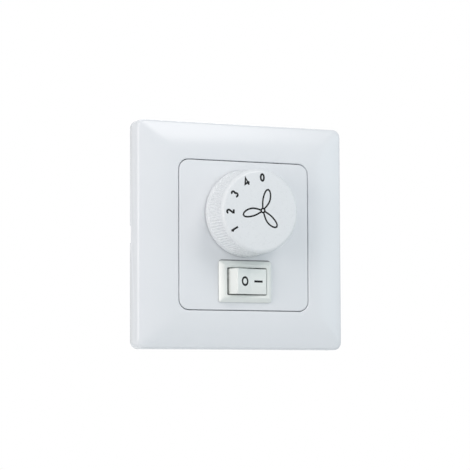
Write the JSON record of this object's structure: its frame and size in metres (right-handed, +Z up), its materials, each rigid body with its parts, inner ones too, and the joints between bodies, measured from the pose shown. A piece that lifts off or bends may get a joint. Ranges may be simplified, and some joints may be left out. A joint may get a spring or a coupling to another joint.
{
  "type": "ceiling fan wall switch",
  "caption": "Square flush wall controller for a ceiling fan, with a knurled rotary speed knob and a small rocker switch in a domed cover frame.",
  "frame": {"origin": "middle between the two fixing slots of the strap, on the face of the wall", "axes": "+X to the right along the two slots, +Y into the wall, +Z up; the front looks along -Y"},
  "size_m": [0.082, 0.0575, 0.082],
  "materials": {
    "white_shell": "glossy white moulded plastic",
    "knob_white": "satin gloss white moulded plastic",
    "rocker_white": "glossy warm white moulded plastic",
    "natural_nylon": "natural nylon",
    "spring_steel": "drawn spring steel",
    "brass": "turned brass",
    "nut_brass": "nickel plated brass",
    "zinc_steel": "zinc plated sheet steel",
    "shaft_steel": "turned steel",
    "screw_steel": "zinc plated screws",
    "black_plastic": "black phenolic moulding",
    "grey_plastic": "light grey moulded plastic",
    "brown_board": "brown laminate board",
    "capacitor_yellow": "yellow capacitor case",
    "resistor_blue": "lacquered resistor",
    "terminal_green": "green terminal block",
    "brown_lead": "brown lead insulation",
    "blue_lead": "blue lead insulation"
  },
  "bodies": {
    "base": {"cover_frame": "white_shell", "centre_plate": "white_shell", "rocker_body": "rocker_white", "rocker_terminals": "brass", "mounting_strap": "zinc_steel", "switch_housing": "black_plastic", "switch_bushing": "brass", "bushing_washer": "zinc_steel", "bushing_nut": "nut_brass", "plate_nut": "nut_brass", "detent_spring": "spring_steel", "switch_wafer": "brown_board", "switch_contacts": "brass", "rear_housing": "grey_plastic", "housing_screws": "screw_steel", "circuit_board": "brown_board", "upper_capacitor": "capacitor_yellow", "lower_capacitor": "capacitor_yellow", "bleed_resistors": "resistor_blue", "terminal_block": "terminal_green", "terminal_clamps": "brass", "terminal_screws": "screw_steel", "live_lead": "brown_lead", "lamp_lead": "blue_lead"},
    "speed_knob": {"knob": "knob_white", "switch_shaft": "shaft_steel", "detent_rotor": "natural_nylon", "wiper": "brass"},
    "paddle": {"rocker_paddle": "rocker_white", "rocker_plunger": "natural_nylon", "rocker_spring": "spring_steel"},
    "see_saw": {"contact_bar": "brass"}
  },
  "joints": [
    {"name": "speed_turn", "type": "hinge", "parent": "base", "child": "speed_knob", "pos_m": [0, -0.0099, 0.008], "axis": [0, 1, 0], "range_deg": [0, 120], "deforming": ["detent_spring"]},
    {"name": "rocker_press", "type": "hinge", "parent": "base", "child": "paddle", "pos_m": [0, -0.0088, -0.01665], "axis": [0, 0, -1], "range_deg": [0, 28]},
    {"name": "see_saw_tip", "type": "hinge", "parent": "base", "child": "see_saw", "pos_m": [0, 0.00005, -0.01665], "axis": [0, 0, 1], "range_deg": [0, 10]}
  ],
  "couplings": [
    {"joint": "see_saw_tip", "follows": "rocker_press", "ratio": 0.35714}
  ]
}
